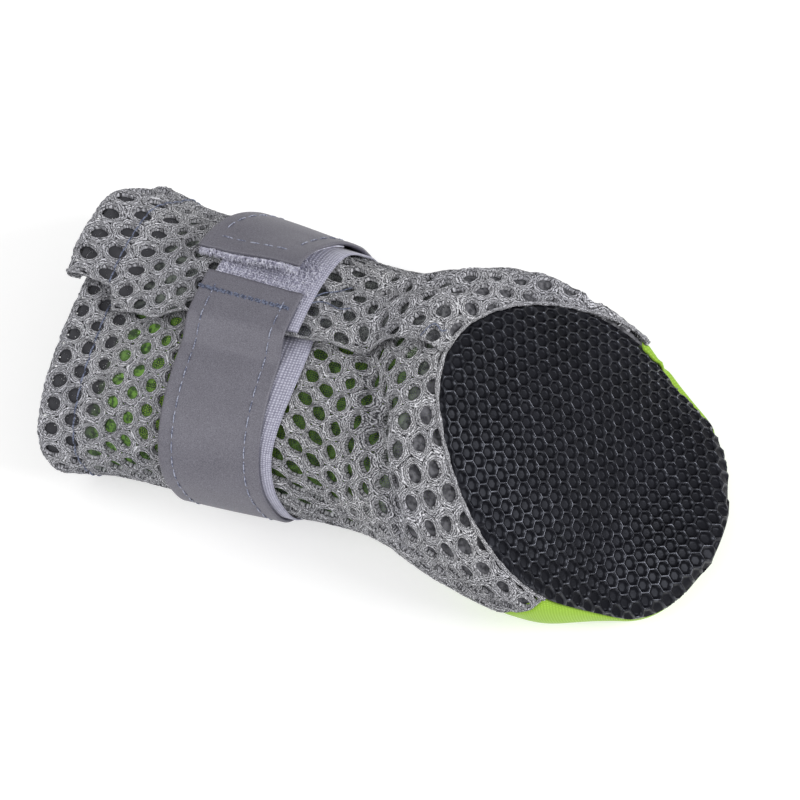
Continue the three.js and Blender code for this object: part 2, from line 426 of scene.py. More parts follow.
# ------ materials
class Paint:
    """A node material: short calls that add nodes and link them."""

    def __init__(self, name):
        self.m = bpy.data.materials.new(name)
        self.m.use_nodes = True
        self.nodes, self.links = self.m.node_tree.nodes, self.m.node_tree.links
        self.shader = self.nodes["Principled BSDF"]
        self.out = self.nodes["Material Output"]

    def set(self, **values):
        for k, v in values.items():
            self.shader.inputs[k.replace("_", " ")].default_value = v
        return self

    def node(self, kind, inputs=(), **fields):
        """A node with its fields set, and each input set or linked from another node's output."""
        n = self.nodes.new("ShaderNode" + kind)
        for k, v in fields.items():
            setattr(n, k, v)
        for k, v in dict(inputs).items():
            if isinstance(v, bpy.types.NodeSocket):
                self.links.new(v, n.inputs[k])
            else:
                n.inputs[k].default_value = v
        return n

    def math(self, operation, a, b=0.0, c=0.0):
        return self.node("Math", {0: a, 1: b, 2: c}, operation=operation).outputs[0]

    def chart(self, scale=(1000, 1000, 1)):
        """The piece's own chart, in millimetres or at another scale of its metres."""
        uv = self.node("UVMap", uv_map="chart").outputs["UV"]
        return self.node("Mapping", {"Vector": uv, "Scale": scale}).outputs["Vector"]

    def place(self):
        return self.node("TexCoord").outputs["Object"]

    def axis(self, vector, name):
        return self.node("SeparateXYZ", {"Vector": vector}).outputs[name]

    def share(self, value, low, high, to_low=0.0, to_high=1.0):
        """to_low at low and beyond it, to_high at high and beyond it."""
        inputs = {"Value": value, "From Min": low, "From Max": high, "To Min": to_low,
                  "To Max": to_high}
        return self.node("MapRange", inputs).outputs[0]

    def weave(self, wales, courses, detail_scale=1.0):
        """Product of waves along chart x and chart y; each is its scale and its distortion."""
        waves = []
        for direction, (scale, distortion) in (("X", wales), ("Y", courses)):
            inputs = {"Vector": self.chart(), "Scale": scale, "Distortion": distortion, "Detail": 1.0,
                      "Detail Scale": detail_scale}
            waves.append(self.node("TexWave", inputs, bands_direction=direction).outputs["Fac"])
        return self.math("MULTIPLY", *waves)

    def noise(self, scale, detail=2.0, rough=0.5, vector=None):
        """Noise over the place on the object, or over another vector."""
        inputs = {"Vector": self.place() if vector is None else vector, "Scale": scale,
                  "Detail": detail, "Roughness": rough}
        return self.node("TexNoise", inputs).outputs["Fac"]

    def ramp(self, fac, *stops):
        n = self.node("ValToRGB", {"Fac": fac})
        e = n.color_ramp.elements
        while len(e) < len(stops):
            e.new(0.5)
        for slot, (at, colour) in zip(e, stops):
            slot.position, slot.color = at, (*colour, 1)
        return n.outputs["Color"]

    def mix(self, fac, a, b, blend="MIX"):
        inputs = {0: fac, 6: a, 7: b}  # the factor and the two colours
        return self.node("Mix", inputs, data_type="RGBA", blend_type=blend).outputs[2]

    def feed(self, name, socket):
        self.links.new(socket, self.shader.inputs[name])

    def colour(self, socket):
        self.feed("Base Color", socket)

    def bump(self, *layers):
        """Each layer is a height, its strength and its distance in millimetres."""
        normal = None
        for height, strength, distance in layers:
            inputs = {"Height": height, "Strength": strength, "Distance": distance * MM}
            if normal is not None:
                inputs["Normal"] = normal
            normal = self.node("Bump", inputs).outputs["Normal"]
        self.feed("Normal", normal)


def knit_material():
    """Grey yarn that runs round each hole: chart x is millimetres along it and y across it."""
    p = Paint("grey_knit").set(Roughness=0.78, Sheen_Weight=0.15, Sheen_Roughness=0.5)
    sway = p.noise(1.0, 3.0, 0.65, p.chart((1300, 1700, 1)))
    across = p.axis(p.chart(), "Y")
    shifted = p.math("MULTIPLY_ADD", sway, 3.4, p.math("MULTIPLY", across, 3.3))
    lines = p.math("ABSOLUTE", p.math("SINE", p.math("MULTIPLY", shifted, math.pi)))
    fine = p.noise(1.0, 2.0, 0.7, p.chart((3200, 7000, 1)))
    strand = p.math("MULTIPLY_ADD", fine, 0.55, p.math("MULTIPLY", lines, 0.45))
    patch = p.noise(60.0, 2.0)
    yarn = p.ramp(strand, (0.3, (0.015, 0.015, 0.02)), (0.43, (0.12, 0.12, 0.135)),
                  (0.58, (0.42, 0.42, 0.45)), (0.74, (0.95, 0.95, 0.98)))
    shade = p.ramp(patch, (0.3, (0.86, 0.86, 0.9)), (0.7, (1, 1, 1)))
    p.colour(p.mix(1.0, yarn, shade, "MULTIPLY"))
    p.bump((lines, 1.0, 0.4), (fine, 0.8, 0.2))
    return p.m


# Metres along the boot between which the net takes its look: grey at the heel, painted shade at the
# collar, and brighter painted lime light beside the collar's end of the lime panel.
NET_X = {"heel": (0.004, 0.012), "collar": (-0.0495, -0.0535), "past_front": (-0.0405, -0.046)}


def net_material(name, lit):
    """Fine grey net with open cells, coloured with painted lime light and painted shade. lit is 1
    where light off the lime panel comes through it.
    """
    p = Paint(name).set(Roughness=0.8)
    x = p.axis(p.place(), "X")
    heel, collar, past_front = (p.share(x, low, high) for low, high in NET_X.values())
    dense = p.math("MAXIMUM", heel, past_front)
    cells = p.node("TexVoronoi", {"Vector": p.chart(), "Scale": 2.1, "Randomness": 0.75},
                   voronoi_dimensions="2D", feature="DISTANCE_TO_EDGE").outputs["Distance"]
    thread = p.math("LESS_THAN", cells, p.math("MULTIPLY_ADD", dense, 0.3, 0.17))
    uneven = p.noise(900.0, 2.0)
    shade = p.ramp(uneven, (0.38, (0.035, 0.035, 0.042)), (0.62, (0.15, 0.15, 0.165)))
    # painted light off the lime panel: dimmer over most of the net, brighter beside the collar's end
    # of the lime panel
    dim_lime_light = p.ramp(uneven, (0.4, (0.015, 0.035, 0.012)), (0.62, (0.085, 0.19, 0.02)))
    bright_lime_light = p.ramp(uneven, (0.42, (0.04, 0.09, 0.02)), (0.6, (0.19, 0.42, 0.04)))
    lime = p.mix(past_front, dim_lime_light, bright_lime_light)
    # no painted lime light at the heel or the collar; lit scales it elsewhere
    grey = p.math("MAXIMUM", heel, collar)
    lime_light_share = p.math("MULTIPLY", p.math("SUBTRACT", 1.0, grey), lit)
    # painted shade: the net turns near black towards the collar
    deep = p.mix(collar, shade, (0.045, 0.045, 0.052, 1))
    p.colour(p.mix(lime_light_share, deep, lime))
    clear = p.node("BsdfTransparent")
    both = p.node("MixShader", {0: thread, 1: clear.outputs[0], 2: p.shader.outputs[0]})
    p.links.new(both.outputs[0], p.out.inputs["Surface"])
    return p.m


def lime_material():
    p = Paint("lime_stretch").set(Roughness=0.75, Sheen_Weight=0.25, Sheen_Roughness=0.4)
    weave = p.weave((0.42, 0.6), (0.5, 0.8), 2.0)
    patch = p.noise(45.0, 3.0)
    mixed = p.math("MULTIPLY_ADD", patch, 0.4, p.math("MULTIPLY", weave, 0.6))
    p.colour(p.ramp(mixed, (0.15, (0.24, 0.42, 0.022)), (0.5, (0.32, 0.54, 0.04)),
                    (0.8, (0.40, 0.63, 0.07))))
    p.bump((weave, 0.35, 0.15), (patch, 0.3, 0.6))
    return p.m


def sole_material():
    """Black rubber: chart x is the share of the way from a dimple's middle to its ridge."""
    p = Paint("black_tread").set(Specular_Tint=(0.82, 0.86, 1.0, 1))
    ridge = p.share(p.axis(p.chart(), "X"), 0.66, 0.88)
    grain = p.noise(2600.0, 3.0)
    wear = p.noise(90.0, 3.0)
    p.colour(p.ramp(wear, (0.3, (0.003, 0.003, 0.0045)), (0.7, (0.006, 0.006, 0.009))))
    worn = p.math("MULTIPLY_ADD", wear, 0.2, 0.3)
    p.feed("Roughness", p.math("MULTIPLY_ADD", ridge, -0.26, worn))
    glint = p.share(p.noise(750.0, 2.0), 0.42, 0.62, 0.12, 0.62)
    p.feed("Specular IOR Level", p.math("MULTIPLY_ADD", ridge, glint, 0.16))
    p.bump((grain, 0.35, 0.08))
    return p.m


def strap_material():
    """Grey cloth covered with fine glass beads."""
    p = Paint("reflective_band").set(Metallic=0.15)
    beads = p.noise(5200.0, 2.0, 0.8)
    cloudy = p.noise(130.0, 3.0)
    mixed = p.math("MULTIPLY_ADD", cloudy, 0.1, p.math("MULTIPLY", beads, 0.9))
    p.colour(p.ramp(mixed, (0.34, (0.090, 0.086, 0.107)), (0.5, (0.140, 0.136, 0.164)),
                    (0.66, (0.205, 0.20, 0.236))))
    p.feed("Roughness", p.math("MULTIPLY_ADD", beads, 0.2, 0.42))
    p.bump((beads, 0.5, 0.08))
    return p.m


def tape_material():
    """Lavender woven tape: chart x runs along it and y across it."""
    p = Paint("lavender_tape").set(Roughness=0.85, Sheen_Weight=0.3, Sheen_Roughness=0.4)
    weave = p.weave((0.62, 0.5), (0.5, 0.6))
    fuzz = p.noise(1500.0, 3.0, 0.7)
    mixed = p.math("MULTIPLY_ADD", fuzz, 0.5, p.math("MULTIPLY", weave, 0.5))
    p.colour(p.ramp(mixed, (0.2, (0.22, 0.215, 0.29)), (0.45, (0.42, 0.42, 0.52)),
                    (0.7, (0.60, 0.60, 0.70))))
    p.bump((weave, 0.5, 0.2), (fuzz, 0.4, 0.2))
    return p.m


def pile_material():
    """Pale fuzz of the loops and hooks."""
    p = Paint("lavender_pile").set(Roughness=0.8, Sheen_Weight=0.4, Sheen_Roughness=0.4)
    tuft = p.noise(1100.0, 2.0)
    p.colour(p.ramp(tuft, (0.35, (0.36, 0.35, 0.46)), (0.62, (0.80, 0.80, 0.90))))
    p.bump((tuft, 0.4, 0.15))
    return p.m


def thread_material(name, dark, light):
    p = Paint(name).set(Roughness=0.55, Sheen_Weight=0.2)
    twist = p.noise(2600.0, 1.0)
    p.colour(p.ramp(twist, (0.4, dark), (0.6, light)))
    p.bump((twist, 0.4, 0.1))
    return p.m


def floor_material():
    """White sweep that glows a little."""
    p = Paint("pale_floor").set(Roughness=0.9, Specular_IOR_Level=0.0, Emission_Strength=0.5,
                                Emission_Color=(1, 1, 1, 1))
    soft = p.noise(4.0, 1.0)
    p.colour(p.ramp(soft, (0.0, (0.60, 0.60, 0.60)), (1.0, (0.62, 0.62, 0.62))))
    return p.m


KNIT, LIME, BLACK = knit_material(), lime_material(), sole_material()
# two copies of the net with painted lime light: strong on the left net, weak on the right net
LEFT_NET, RIGHT_NET = net_material("left_net", 0.85), net_material("right_net", 0.1)
BAND, TAPE_CLOTH, FUZZ = strap_material(), tape_material(), pile_material()
NAVY = thread_material("navy_thread", (0.03, 0.038, 0.08), (0.17, 0.20, 0.30))
GREY_BLUE = thread_material("grey_blue_thread", (0.06, 0.07, 0.13), (0.36, 0.38, 0.48))

# ------ knitted mesh
PITCH = {"round": 5.0, "along": 3.95}  # millimetres between holes
HOLE = 1.42  # radius
# Ovals beside the strap, pointed at their ends and leaning, in degrees from the way round the
# shaft; slits in the ankle's fold, near u.
OVAL = {"longer": 0.6, "narrower": 0.16, "pointed": 0.45, "lean": -58}
SLIT = {"u": 4.15, "reach": 0.28, "long": 1.15, "wide": 0.5, "most": 0.85}
WIDEST_HOLE = 0.86  # share of the way to the next hole's cell
JITTER = 0.35  # how far the holes stand off their even lattice
TURNS = 24  # points round a hole
PANEL_SPAN = {"left": (0.0, 0.62), "right": (0.42, 1.0)}  # shares of the way round that get holes
FOLD_R = 1.1  # half of the thickness of the folded hem
HEM = 8.6  # how far the hem is turned in
# From the hole's wall to the middle of the yarn bundle between two holes.
BUNDLE = np.array([
    # across, height
    [0.0, -1.0],
    [-0.02, -0.5],
    [0.05, -0.16],
    [0.2, 0.05],
    [0.38, -0.03],
    [0.56, -0.17],
    [0.78, -0.03],
    [1.0, 0.06],
])


def cell_radius(angle):
    """Distance from a hole's centre to the line half way to its neighbours."""
    a, b = PITCH["round"], PITCH["along"]
    near = [(a, 0), (a / 2, b), (-a / 2, b), (-a, 0), (-a / 2, -b), (a / 2, -b)]
    best = np.full_like(angle, 99.0)
    for x, y in near:
        facing = x * np.cos(angle) + y * np.sin(angle)
        half_way = (x * x + y * y) / 2 / np.maximum(facing, 0.1)
        best = np.where(facing > 0.1, np.minimum(best, half_way), best)
    return best


def jitter(s, t, seed):
    return JITTER * wobble(s / 4, t / 4, seed)


def hole_radius(angle, u, deg):
    """Distance from a hole's centre to its wall; round holes turn into ovals and slits."""
    ovals = smooth(u, 2.9, 3.1) * smooth(u, 4.1, 3.7) * smooth(deg, 98, 85)
    slits = bell(u, SLIT["u"], SLIT["reach"]) * smooth(deg, 120, 90)
    length, width = 1 + OVAL["longer"] * ovals, 1 - OVAL["narrower"] * ovals
    power = 2 - OVAL["pointed"] * ovals
    lean = np.radians(OVAL["lean"])
    c, s = np.abs(np.cos(angle - lean)), np.abs(np.sin(angle - lean))
    oval = ((c / length) ** power + (s / width) ** power) ** (-1 / power)
    slit = 1 / np.sqrt((np.cos(angle) / SLIT["long"]) ** 2 + (np.sin(angle) / SLIT["wide"]) ** 2)
    return HOLE * lerp(oval, slit, np.minimum(slits, SLIT["most"]))


def hem_turn(t, height):
    """Distance along the shaft and height of cloth that is folded in at the collar."""
    phi = np.clip(t / FOLD_R, -math.pi / 2, math.pi / 2)
    spare = np.maximum(np.abs(t) - FOLD_R * math.pi / 2, 0)
    x = FOLD_R - np.cos(phi) * (FOLD_R + height) + spare
    h = -FOLD_R + np.sin(phi) * (FOLD_R + height)
    return x, h


def knit_panel(name, side):
    """The left or the right mesh panel, from its turned hem to the outsole."""
    t_end = chart.t_at(MESH_END) + 3
    low, high = (share * chart.round_mm for share in PANEL_SPAN[side])
    columns = np.arange(int((high - low) / PITCH["round"]))
    angle = np.arange(TURNS) * 2 * math.pi / TURNS
    edge = cell_radius(angle)
    across, drop = BUNDLE[:, :1], BUNDLE[:, 1:]
    points, charts, faces = [], [], []
    for i, t0 in enumerate(np.arange(-HEM, t_end, PITCH["along"])):
        for even_s in low + (columns + (i % 2) / 2) * PITCH["round"]:
            sc = even_s + jitter(even_s, t0, 1.0)
            tc = t0 + jitter(sc, t0, 2.0)
            uc = chart.u_at(abs(tc))
            dc = float(chart.deg_at(np.array(sc), np.array(uc)))
            size = 1 + 0.1 * wobble(sc * 1.1, t0 * 1.3, 4.0)
            outline = 1 + 0.06 * np.sin(2 * angle + sc * 3.1 + t0)
            outline += 0.04 * np.sin(3 * angle + sc + t0 * 2.7)
            inner = hole_radius(angle, uc, dc if side == "left" else 180 - dc) * size * outline
            grow = lerp(np.minimum(inner, edge * WIDEST_HOLE)[None, :], edge[None, :], across)
            s = sc + grow * np.cos(angle)
            t = tc + grow * np.sin(angle)
            # the middle line of a bundle is shared with the next hole's
            middle = across == 1
            s = np.where(middle, s - jitter(sc, t0, 1.0) + jitter(s, t, 1.0), s)
            t = np.where(middle, t - jitter(sc, t0, 2.0) + jitter(s, t, 2.0), t)
            if t.min() > t_end:
                continue
            z = drop + 0.1 * wobble(s * 1.3, t * 1.3, 5.0)
            along_yarn = angle * 2.3 + 0.5 * sc + 7.0 * i
            faces += ring_faces(len(points) * across.size * TURNS, across.size, TURNS)
            points.append(np.stack([s, t, z], -1).reshape(-1, 3))
            charts.append(np.stack(np.broadcast_arrays(along_yarn, across), -1).reshape(-1, 2))
    s, t, z = np.concatenate(points).T
    x, h = hem_turn(t, z)
    turned = t < FOLD_R * math.pi / 2
    h = np.where(turned, h, z)
    x = np.where(turned, x, t + FOLD_R * (1 - math.pi / 2))
    u = chart.u_at(x)
    deg = chart.deg_at(s, u)
    low_edge, high_edge = panel_edges(side, u)
    kept = (deg > low_edge) & (deg < high_edge) & (u < MESH_END) & ~under_sole(u, deg - 90)
    u, deg = out_of_sole(np.minimum(u, MESH_END), np.clip(deg, low_edge, high_edge))
    if side == "right":
        h = h + flap_top(u, deg)
        u = lapped(u, deg)
    live = kept[np.array(faces)].any(axis=1)
    faces = [f for f, keep in zip(faces, live) if keep]
    p = cloth(u, deg, h, level=0.15)
    return new_piece(name, p, faces, KNIT, uv=np.concatenate(charts), weld=0.012)


NET = {"from": 0.12, "height": -1.08, "inset": 1.0}  # inset: degrees inside the mesh's edges


def net_panel(name, side, material):
    """Fine net under one mesh panel."""
    n, m = 100, 110
    a, b = unit_grid(n, m)
    u = lerp(NET["from"], MESH_END, a)
    low, high = panel_edges(side, u)
    deg = lerp(low + (NET["inset"] if side == "right" else 0.0), high, b)
    uv = np.stack([chart.s_at(deg, u), chart.t_at(u)], -1).reshape(-1, 2)
    u, deg = out_of_sole(u, deg, NET["inset"])
    h = np.full_like(u, NET["height"])
    if side == "right":
        h = h + flap_height(u, deg)
        u = lapped(u, deg)
    p = cloth(u, deg, h, level=0.3).reshape(-1, 3)
    return new_piece(name, p, grid_faces(n, m), material, uv=uv, weld=0.005)


# Heights are of the panel's outer face; tuck is in degrees under the mesh's or the outsole's edge.
FRONT = {
    "from": -0.08,
    "to": 9.93,
    "thick": 0.55,
    "tuck": 3,
    "height": -0.05,
    "under_mesh": -0.95,
    "under_sole": -0.4,
    "ramp": 9,  # degrees from the edge over which it rises
}
# At the toe the panel turns up to this height, and higher in the middle.
TOE_WALL = {"height": 3.4, "more": 2.0, "half": 6.5, "from": 0.972}


def front_panel():
    """Lime stretch panel: a strip down the front of the shaft that widens over the whole instep."""
    n, m = 150, 120

    def point(a, b, face):
        u = lerp(FRONT["from"], FRONT["to"], a)
        edge = np.where(u < MESH_END, at_u(FRONT_EDGE, u) - 90, -sole_spread(u))
        half = 180 + (edge + FRONT["tuck"])
        deg = 270 + (2 * b - 1) * half
        clear = smooth(np.abs(deg - 270), half, half - FRONT["ramp"])
        rim = np.where(u < MESH_END + 0.3, FRONT["under_mesh"], FRONT["under_sole"])
        h = lerp(rim, FRONT["height"], clear) + 0.12 * wobble(u * 2.5, deg / 14, 3.0)
        h = h - (0 if face else FRONT["thick"])
        p = rounded_toe(u, cloth(u, deg, h, level=0.02 if face else 0.5))
        wall = TOE_WALL["height"] + TOE_WALL["more"] * clamp01(1 - (p[..., 1] / TOE_WALL["half"]) ** 2)
        p[..., 2] = lerp(p[..., 2], np.maximum(p[..., 2], wall), smooth(a, TOE_WALL["from"], 1.0))
        return p

    points, faces = shell(n, m, point)
    a, b = unit_grid(n, m)
    one = np.stack([b * 100, a * 130], -1).reshape(-1, 2)
    return new_piece("front_panel", points, faces, LIME, uv=np.concatenate([one, one]), weld=0.003)


# ------ outsole
DIMPLE = {"pitch": 2.8, "turns": 12}
DIMPLE_ROWS = np.array([
    # share of the way to the cell's edge, height
    [0.0, -0.60],
    [0.42, -0.62],
    [0.62, -0.58],
    [0.75, -0.36],
    [0.85, -0.08],
    [0.93, 0.05],
    [1.0, 0.08],
])


class SoleChart:
    """Distances on the outsole: t from the heel along the tread line, v sideways from it."""

    per_mm = 4

    def __init__(self):
        self.u = np.linspace(SOLE["heel"], SOLE["toe"], 200)
        self.t = arc_length(skin(self.u, 90))
        side = np.linspace(-100, 100, 401)
        arc = arc_length(skin(self.u[:, None], 90 + side[None, :]), 1)
        arc -= arc[:, 200:201].copy()  # 0 on the tread line
        self.even = np.linspace(-50, 50, 100 * self.per_mm + 1)
        self.side_of = np.array([np.interp(self.even, row, side) for row in arc])

    def at(self, t, v):
        """u and degrees to the side of the tread line."""
        u = np.interp(t, self.t, self.u)
        row = (u - self.u[0]) / (self.u[1] - self.u[0])
        return u, sampled(self.side_of, row, (v - self.even[0]) * self.per_mm)


TOE_TIP = {"push": 1.1, "from": 9.2, "half": 8.5}


def rounded_toe(u, p):
    """Points of the toe's blunt end pushed out to a round outline."""
    p = p.copy()
    middle = clamp01(1 - (p[..., 1] / TOE_TIP["half"]) ** 2)
    p[..., 0] += TOE_TIP["push"] * smooth(u, TOE_TIP["from"], SOLE["toe"]) * middle
    return p


def tread_point(u, side, height):
    lift = outward(np.minimum(u, SOLE["last_lift"]), 90 + 0.7 * side)
    return rounded_toe(u, skin(u, 90 + side) + lift * height[..., None])


def sole_top(u):
    return lerp(SOLE["heel_proud"], SOLE["toe_proud"], smooth(sole_share(u), 0.1, 0.6))


# The tread's edge turns down over these degrees at the sides and shares of its length at the ends.
TREAD_EDGE = {"side": 4.2, "heel": 0.035, "toe": 0.02, "drop": 0.5}


def sole_rounding(u, side):
    """0 on the flat of the tread, 1 at its edge."""
    room = np.maximum(sole_spread(u) - np.abs(side), 0)
    ends = np.minimum(sole_share(u) / TREAD_EDGE["heel"], (1 - sole_share(u)) / TREAD_EDGE["toe"])
    return 1 - clamp01(np.minimum(room / TREAD_EDGE["side"], ends))


def outsole():
    plan = SoleChart()
    pitch, turns, n_rows = DIMPLE["pitch"], DIMPLE["turns"], len(DIMPLE_ROWS)
    out, drop = DIMPLE_ROWS[:, :1], DIMPLE_ROWS[:, 1:]
    length = plan.t[-1]
    angle = np.arange(turns) * 2 * math.pi / turns
    edge = pitch / 2 / np.cos((angle + math.pi / 6) % (math.pi / 3) - math.pi / 6)
    cells = []
    for i in range(-16, 17):
        for j in range(-2, int(length / pitch) + 3):
            t = (j + (i % 2) / 2) * pitch + out * edge * np.sin(angle + math.pi / 2)
            v = i * pitch * math.sqrt(3) / 2 + out * edge * np.cos(angle + math.pi / 2)
            cells.append(np.stack(np.broadcast_arrays(t, v, drop), -1))
    t, v, z = np.moveaxis(np.array(cells), -1, 0)
    u, side = plan.at(np.clip(t, 0, length), v)
    spread = sole_spread(u)
    kept = (t > 0) & (t < length) & (np.abs(side) < spread)
    side = np.clip(side, -spread, spread)
    turn = sole_rounding(u, side)
    tread = tread_point(u, side, sole_top(u) + z * (1 - turn) - TREAD_EDGE["drop"] * turn**2)
    points, shares, faces = [], [], []
    for c in np.flatnonzero(kept.any(axis=(1, 2))):
        base = len(points) * n_rows * turns
        points.append(tread[c].reshape(-1, 3))
        shares.append(np.repeat(DIMPLE_ROWS[:, 0], turns))
        faces.append(tuple(base + j for j in range(turns)))
        faces += ring_faces(base, n_rows, turns)

    def body(a, b, face):
        """The sheet under the dimples."""
        u = lerp(SOLE["heel"], SOLE["toe"], 0.35 * (1 - np.cos(np.pi * a)) + 0.3 * a)
        height = sole_top(u) + drop.min() if face else np.full_like(u, -SOLE["thick"])
        return tread_point(u, (2 * b - 1) * sole_spread(u), height)

    points = np.concatenate(points)
    base = len(points)
    under, under_faces = shell(90, 60, body)
    points = np.concatenate([points, under])
    shares = np.concatenate([*shares, np.zeros(len(under))])
    faces += [tuple(base + k for k in f) for f in under_faces]
    uv = np.stack([shares, np.zeros_like(shares)], -1)
    o = new_piece("outsole", points, faces, BLACK, uv=uv, weld=0.01)
    return o


# ------ strap, tape and hooks
# Bands run from u "from" to u "to"; their degrees fall from the start on the back, round the left
# side, the front and the right side.
GAP = 0.1  # between layers
WIDE = 21  # millimetres across the strap
TAPE = {"from": 2.06, "to": 3.12, "start": 104, "end": -272, "thick": 0.55, "bulge": 0.14}
STRAP = {"from": 2.0, "to": 3.0, "start": 104, "end": -248, "thick": 0.8, "skew": 0.25}
HOOK = {"start": -216, "end": -248.6, "inset": 0.04, "thick": 0.6}
LAP = {"height": 2.9, "from": -204, "full": -235}  # the bands climb over the flap's root
LIFT = {"height": 2.3, "from": -226}  # how far the free end's right corner stands up
BAND_EDGE = {"wide": 0.55, "deep": 0.42}  # its rounding, as shares of the band's thickness


def on_flap(deg):
    return LAP["height"] * smooth(deg, LAP["from"], LAP["full"])


def tape_base(deg):
    return GAP + on_flap(deg)


def strap_base(deg):
    start = LAP["height"] * smooth(deg, 74, 87)
    end = (HOOK["thick"] + GAP + 0.1) * smooth(deg, -190, -214)
    return 2 * GAP + TAPE["thick"] + start + on_flap(deg) + end


def hook_base(deg):
    return strap_base(deg) - HOOK["thick"] - GAP


def tape_shift(deg):
    return 0.0, TAPE["bulge"] * smooth(deg, 30, 80)


def strap_shift(deg):
    k = smooth(deg, -203, -247)
    return -STRAP["skew"] * k, -STRAP["skew"] / 2 * k


def hook_shift(deg):
    low, high = strap_shift(deg)
    return low + HOOK["inset"], high - HOOK["inset"]


def band_u(kind, deg, b, shift):
    low, high = shift(deg)
    return lerp(kind["from"] + low, kind["to"] + high, b)


def corner_lift(deg, b):
    """The strap's free end stands away from the tape towards its right corner."""
    lift = LIFT["height"] * smooth(deg, LIFT["from"], STRAP["end"])
    return lift * (0.2 + 0.8 * smooth(b, 0.3, 0.85))


def band(name, kind, base, shift, n, m, material, dent=None, lifted=False):
    """A closed band with rounded edges; dent(a, b) lowers its outside."""
    thick = kind["thick"]

    def point(a, b, face):
        deg = lerp(kind["start"], kind["end"], a)
        b = 0.5 - 0.5 * np.cos(np.pi * b) * (0.35 + 0.65 * np.abs(2 * b - 1))
        u = band_u(kind, deg, b, shift)
        near = np.minimum(b, 1 - b) * WIDE / (thick * BAND_EDGE["wide"])
        round_off = (1 - clamp01(near)) ** 2 * thick * BAND_EDGE["deep"]
        if face:
            h = base(deg) + thick - round_off
            if dent is not None:
                h = h - dent(a, b)
        else:
            h = base(deg) + round_off
        if lifted:
            h = h + corner_lift(deg, b)
        p, _ = raised(u, deg, h)
        p[..., 2] = np.maximum(p[..., 2], 0.03 + round_off if face else thick * 0.8)
        return p

    points, faces = shell(n, m, point)
    a, b = unit_grid(n, m)
    one = np.stack([a * abs(kind["end"] - kind["start"]) * DEG_MM, b * WIDE], -1).reshape(-1, 2)
    return new_piece(name, points, faces, material, uv=np.concatenate([one, one]))


STITCH = {"pitch": 3.0, "long": 2.95, "radius": 0.17, "sink": 2.2, "taper": 0.35}
BORDER = 3.3 / WIDE  # the strap's stitch lines, as a share of its width
END_SEAM = STRAP["end"] + 6  # degrees of the stitch line across the free end


def strap_dent(a, b):
    """The stitch lines pull the strap in, and it bulges a little between them."""
    length = (STRAP["start"] - STRAP["end"]) * DEG_MM
    line = bell(b, BORDER, 0.03) + bell(b, 1 - BORDER, 0.03)
    pucker = 0.5 + 0.5 * np.cos(2 * np.pi * a * length / STITCH["pitch"])
    bulge = np.sin(np.pi * clamp01((b - BORDER) / (1 - 2 * BORDER)))
    return 0.16 * line * (0.5 + 0.5 * pucker) - 0.08 * bulge


# ------ thread
def rolled(path, across, over, radius, sides):
    """Points of a round roll, ring by ring; across and over are at right angles to the path."""
    turn = 2 * math.pi * np.arange(sides) / sides
    ring = np.cos(turn)[None, :, None] * across[:, None] + np.sin(turn)[None, :, None] * over[:, None]
    return (path[:, None] + ring * radius[:, None, None]).reshape(-1, 3)


def thread(name, paths, material, pitch=STITCH["pitch"], long=STITCH["long"],
           radius=STITCH["radius"], lean=0.0):
    """Stitches along paths; a path is a list of points and outward directions in millimetres."""
    rings, sides = 7, 6
    f = np.linspace(-1, 1, rings)
    points, faces = [], []
    for path, up in paths:
        along = arc_length(path)
        for k in range(int(along[-1] / pitch)):
            at = (k + 0.15) * pitch + np.linspace(0, long, rings)
            if at[-1] > along[-1]:
                break
            line = np.stack([np.interp(at, along, path[:, c]) for c in range(3)], -1)
            n = unit(np.stack([np.interp(at, along, up[:, c]) for c in range(3)], -1))
            cross = np.cross(unit(np.gradient(line, axis=0)), n)
            height = radius * (1.0 - STITCH["sink"] * np.abs(f) ** 3)
            line = line + n * height[:, None] + cross * (f * lean)[:, None]
            thick = radius * (1 - STITCH["taper"] * f**2)
            faces += tube_faces(len(points) * rings * sides, rings, sides)
            points.append(rolled(line, cross, n, thick, sides))
    return new_piece(name, np.concatenate(points), faces, material)


def skin_path(u, deg, height):
    """A path over the folded skin, for thread()."""
    return cloth(u, deg, height, level=0.1), outward(u, deg)


def strap_path(deg, b, height):
    """A path over the strap, for thread()."""
    b = np.broadcast_to(b, deg.shape)
    u = band_u(STRAP, deg, b, strap_shift)
    h = strap_base(deg) + STRAP["thick"] + height + corner_lift(deg, b)
    p, n = raised(u, deg, h)
    p[..., 2] = np.maximum(p[..., 2], 0.1)
    return p, n


HEM_SEAM = 7.4  # millimetres from the collar
BAR_ROWS = (7.2, 7.7, 8.2)  # degrees from the strap's start
# Cut ends of thread, from the bar tack and from the tip of the flap: u and degrees at both ends.
THREAD_ENDS = (((2.98, 98), (3.62, 106)), ((2.98, 96), (3.45, 118)), ((4.75, 93), (5.0, 101)))


def hem_seams():
    """The hem's stitches on the left panel and on the flap."""
    u = np.full(90, chart.u_at(HEM_SEAM))
    deg = np.linspace(-55, 86, 90)
    inner = skin_path(u, deg, 0.05)
    deg = np.linspace(90, 236, 90)
    outer = skin_path(lapped(u, deg), deg, 0.05 + flap_height(u, deg))
    return thread("hem_thread", [inner, outer], NAVY, lean=0.12)


def strap_seams():
    """The strap's stitches along both borders and across its free end."""
    run = np.linspace(STRAP["start"] - 4, END_SEAM, 400)
    b = np.linspace(BORDER, 1 - BORDER, 30)
    paths = [strap_path(run, BORDER, -0.12), strap_path(run, 1 - BORDER, -0.12),
             strap_path(np.full_like(b, END_SEAM), b, -0.05)]
    return thread("strap_thread", paths, GREY_BLUE, radius=0.14)


def bar_seam():
    """The bar tack across the strap beside its start."""
    b = np.linspace(-0.03, 1.0, 40)
    paths = [strap_path(np.full_like(b, STRAP["start"] - d), b, -0.02) for d in BAR_ROWS]
    return thread("bar_tack", paths, NAVY, pitch=1.5, long=1.9, radius=0.13, lean=0.2)


